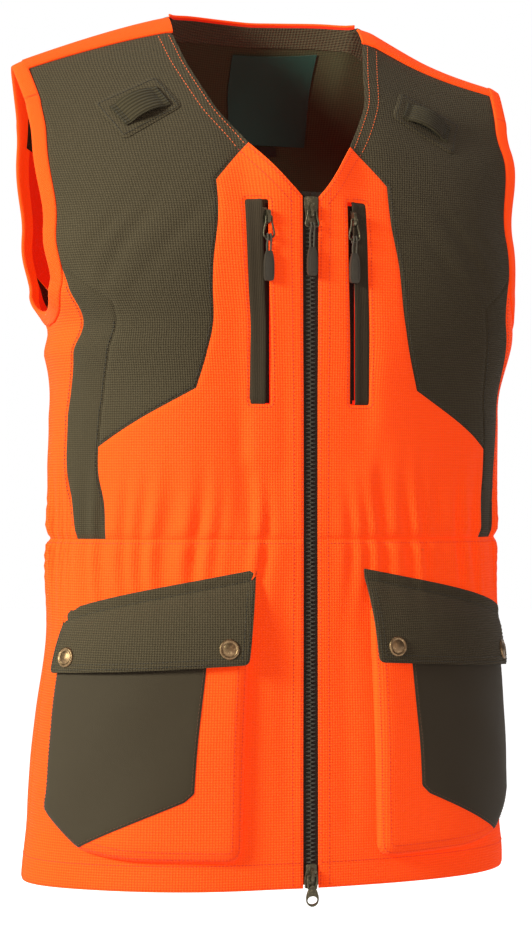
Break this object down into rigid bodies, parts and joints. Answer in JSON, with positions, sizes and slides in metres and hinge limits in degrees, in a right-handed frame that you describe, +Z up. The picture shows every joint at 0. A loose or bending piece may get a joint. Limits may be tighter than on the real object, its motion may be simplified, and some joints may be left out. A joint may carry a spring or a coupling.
{
  "type": "field vest",
  "caption": "Sleeveless field vest with a two-way front zip, chest zip pockets, flapped cargo pockets and shoulder strap loops.",
  "frame": {"origin": "neck seat: midway between the two shoulder seams at the neck, on the mid-plane", "axes": "+X to the wearer's left (to the right seen from the front), the front faces -Y, +Z up"},
  "size_m": [0.4346, 0.2425, 0.759],
  "materials": {
    "orange": "matt waffle-weave softshell, fluorescent",
    "olive": "matt waffle-weave softshell",
    "dark_olive": "matt smooth softshell",
    "zip_brown": "matt woven tape",
    "grip_rubber": "matt moulded",
    "label_green": "satin woven",
    "snap_metal": "antiqued satin"
  },
  "bodies": {
    "vest": {"front_yoke_r": "olive", "front_yoke_l": "olive", "chest_panel_r": "orange", "chest_panel_l": "orange", "front_side_strip_r": "olive", "front_side_strip_l": "olive", "underarm_panel_r": "orange", "underarm_panel_l": "orange", "back_side_strip_r": "olive", "back_side_strip_l": "olive", "back_panel": "orange", "back_lining": "dark_olive", "shoulder_strip_r": "orange", "shoulder_strip_l": "orange", "neck_facing_r": "olive", "neck_facing_l": "olive", "back_neck_facing": "olive", "armhole_binding_r": "orange", "armhole_binding_l": "orange", "front_skirt_r": "orange", "front_skirt_l": "orange", "back_skirt": "orange", "waist_casing": "orange", "cargo_pocket_r": "orange", "cargo_pocket_l": "orange", "pocket_overlay_r": "dark_olive", "pocket_overlay_l": "dark_olive", "flap_band_r": "olive", "flap_band_l": "olive", "snap_studs": "snap_metal", "strap_patch_r": "olive", "strap_patch_l": "olive", "strap_loop_r": "olive", "strap_loop_l": "olive", "chest_welt_r": "dark_olive", "chest_welt_l": "dark_olive", "chest_zip_r": "zip_brown", "chest_zip_l": "zip_brown", "zip_tape_r": "zip_brown", "zip_tape_l": "zip_brown", "zip_teeth": "snap_metal", "zip_end_box": "snap_metal", "neck_label": "label_green", "size_tag": "zip_brown"},
    "flap_r": {"pocket_flap_r": "olive", "snap_caps_r": "snap_metal"},
    "flap_l": {"pocket_flap_l": "olive", "snap_caps_l": "snap_metal"},
    "top_slider_body": {"top_slider": "snap_metal"},
    "top_pull_body": {"top_pull": "snap_metal"},
    "top_grip_body": {"top_grip": "grip_rubber"},
    "bottom_slider_body": {"bottom_slider": "snap_metal"},
    "bottom_pull_body": {"bottom_pull": "snap_metal"},
    "chest_slider_r_body": {"chest_slider_r": "snap_metal"},
    "chest_slider_l_body": {"chest_slider_l": "snap_metal"},
    "chest_pull_r_body": {"chest_pull_r": "snap_metal"},
    "chest_pull_l_body": {"chest_pull_l": "snap_metal"},
    "chest_grip_r_body": {"chest_grip_r": "grip_rubber"},
    "chest_grip_l_body": {"chest_grip_l": "grip_rubber"}
  },
  "joints": [
    {"name": "top_slide", "type": "slide", "parent": "vest", "child": "top_slider_body", "axis": [0, 0, -1], "range_m": [0, 0.36]},
    {"name": "top_pull_swing", "type": "hinge", "parent": "top_slider_body", "child": "top_pull_body", "pos_m": [0, -0.1109, -0.177], "axis": [-1, 0, 0], "range_deg": [0, 100]},
    {"name": "top_grip_swing", "type": "hinge", "parent": "top_pull_body", "child": "top_grip_body", "pos_m": [0, -0.1109, -0.19], "axis": [-1, 0, 0], "range_deg": [0, 60]},
    {"name": "bottom_slide", "type": "slide", "parent": "vest", "child": "bottom_slider_body", "axis": [0, 0, 1], "range_m": [0, 0.09]},
    {"name": "bottom_pull_swing", "type": "hinge", "parent": "bottom_slider_body", "child": "bottom_pull_body", "pos_m": [0, -0.1109, -0.724], "axis": [-1, 0, 0], "range_deg": [0, 150]},
    {"name": "chest_slide_r", "type": "slide", "parent": "vest", "child": "chest_slider_r_body", "axis": [0, 0, -1], "range_m": [0, 0.135]},
    {"name": "chest_pull_swing_r", "type": "hinge", "parent": "chest_slider_r_body", "child": "chest_pull_r_body", "pos_m": [-0.037, -0.1104, -0.183], "axis": [-1, 0, 0], "range_deg": [0, 100]},
    {"name": "chest_grip_swing_r", "type": "hinge", "parent": "chest_pull_r_body", "child": "chest_grip_r_body", "pos_m": [-0.037, -0.1104, -0.2], "axis": [-1, 0, 0], "range_deg": [0, 60]},
    {"name": "flap_fold_r", "type": "hinge", "parent": "vest", "child": "flap_r", "pos_m": [-0.142, -0.0819, -0.5008], "axis": [-0.8808, 0.4222, -0.2144], "range_deg": [0, 120]},
    {"name": "chest_slide_l", "type": "slide", "parent": "vest", "child": "chest_slider_l_body", "axis": [0, 0, -1], "range_m": [0, 0.135]},
    {"name": "chest_pull_swing_l", "type": "hinge", "parent": "chest_slider_l_body", "child": "chest_pull_l_body", "pos_m": [0.037, -0.1104, -0.183], "axis": [-1, 0, 0], "range_deg": [0, 100]},
    {"name": "chest_grip_swing_l", "type": "hinge", "parent": "chest_pull_l_body", "child": "chest_grip_l_body", "pos_m": [0.037, -0.1104, -0.2], "axis": [-1, 0, 0], "range_deg": [0, 60]},
    {"name": "flap_fold_l", "type": "hinge", "parent": "vest", "child": "flap_l", "pos_m": [0.142, -0.0819, -0.5008], "axis": [-0.8808, -0.4222, 0.2144], "range_deg": [0, 120]}
  ]
}
